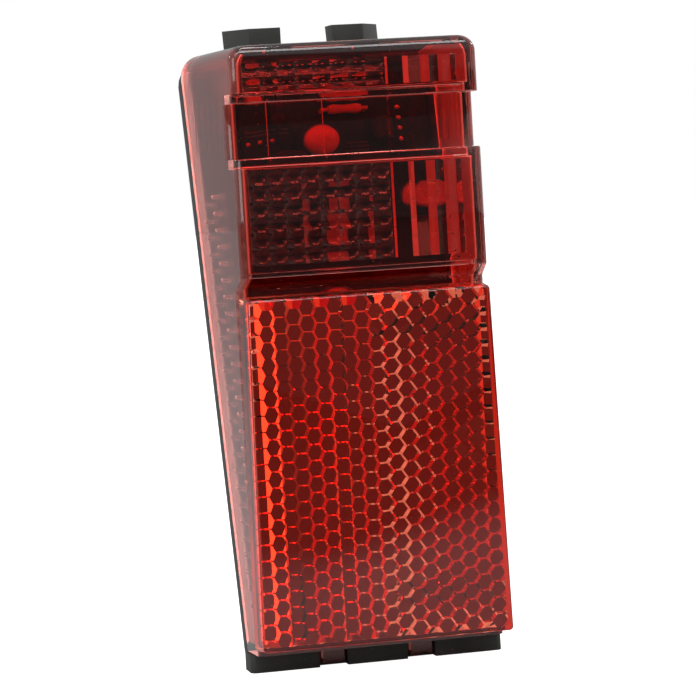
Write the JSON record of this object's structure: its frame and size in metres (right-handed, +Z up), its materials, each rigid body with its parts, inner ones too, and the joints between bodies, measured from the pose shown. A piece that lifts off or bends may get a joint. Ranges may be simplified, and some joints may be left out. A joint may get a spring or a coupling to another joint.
{
  "type": "bicycle rear light",
  "caption": "Mudguard rear light with a stepped red lens cover over an LED board, a prism reflector plate, and a black base plate that bolts on from behind.",
  "frame": {"origin": "middle of the mounting pad on the back of the base, between the two bolts", "axes": "+Z up along the upright lens face, -Y out of the lens face towards traffic behind, +X to the viewer's right; the mounting pad leans 12.9 degrees and faces back and down"},
  "size_m": [0.0516, 0.047, 0.1235],
  "materials": {
    "lens_red": "clear red moulded acrylic",
    "reflector_red": "clear red acrylic with prisms behind",
    "base_black": "black moulded plastic",
    "zinc_steel": "zinc plated",
    "board_green": "solder resist",
    "led_milky": "milky epoxy",
    "holder_black": "black moulded plastic",
    "can_sleeve": "black shrink sleeve",
    "epoxy_black": "moulded epoxy",
    "resistor_tan": "lacquered",
    "tinned": "tinned"
  },
  "bodies": {
    "base": {"base_plate": "base_black", "mounting_bolt_lower": "zinc_steel", "mounting_bolt_upper": "zinc_steel", "mounting_washer_lower": "zinc_steel", "mounting_washer_upper": "zinc_steel", "mounting_nut_lower": "zinc_steel", "mounting_nut_upper": "zinc_steel", "circuit_board": "board_green", "board_screw_upper": "zinc_steel", "board_screw_lower": "zinc_steel", "led": "led_milky", "led_holder": "holder_black", "standlight_capacitor": "can_sleeve", "bridge_rectifier": "epoxy_black", "voltage_regulator": "epoxy_black", "resistor_lower": "resistor_tan", "resistor_upper": "resistor_tan", "diode": "epoxy_black", "terminal_live": "tinned", "terminal_earth": "tinned"},
    "cover": {"lens_cover": "lens_red", "reflector_plate": "reflector_red"}
  },
  "joints": [
    {"name": "cover_swing", "type": "hinge", "parent": "base", "child": "cover", "pos_m": [0, 0.01218, 0.07694], "axis": [-1, 0, 0], "range_deg": [0, 60]}
  ]
}
